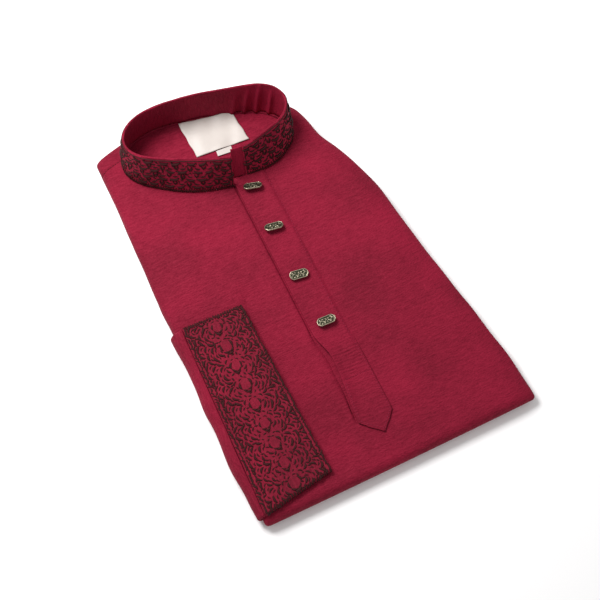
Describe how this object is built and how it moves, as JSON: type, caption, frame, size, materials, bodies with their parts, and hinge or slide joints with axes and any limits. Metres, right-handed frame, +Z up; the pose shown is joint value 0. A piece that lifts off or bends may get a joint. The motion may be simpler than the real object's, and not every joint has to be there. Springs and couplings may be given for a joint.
{
  "type": "folded kurta",
  "caption": "Men's kurta folded flat with its front up, embroidered standing collar, pointed buttoned placket and one embroidered cuff laid on the front.",
  "frame": {"origin": "centre of the folded garment's base, on the surface it lies on", "axes": "+Z up off the surface, +Y from the bottom fold to the collar, +X across the front to the wearer's left"},
  "size_m": [0.2618, 0.375, 0.06],
  "materials": {
    "kurta_cloth": "crimson slubbed cotton blend with a slight sheen",
    "embroidered_cloth": "the same cloth under dense dark olive-brown embroidery",
    "label_satin": "off-white woven satin, left blank",
    "button_metal": "antiqued brass with raised filigree"
  },
  "bodies": {
    "root": {"front_panel": "kurta_cloth", "back_panel": "kurta_cloth", "folded_layers": "kurta_cloth", "sleeve": "kurta_cloth", "cuff_band": "embroidered_cloth", "collar_outer": "embroidered_cloth", "collar_inner": "kurta_cloth", "placket": "kurta_cloth", "neck_label": "label_satin", "size_tab": "label_satin", "button_1": "button_metal", "button_2": "button_metal", "button_3": "button_metal", "button_4": "button_metal"}
  },
  "joints": []
}
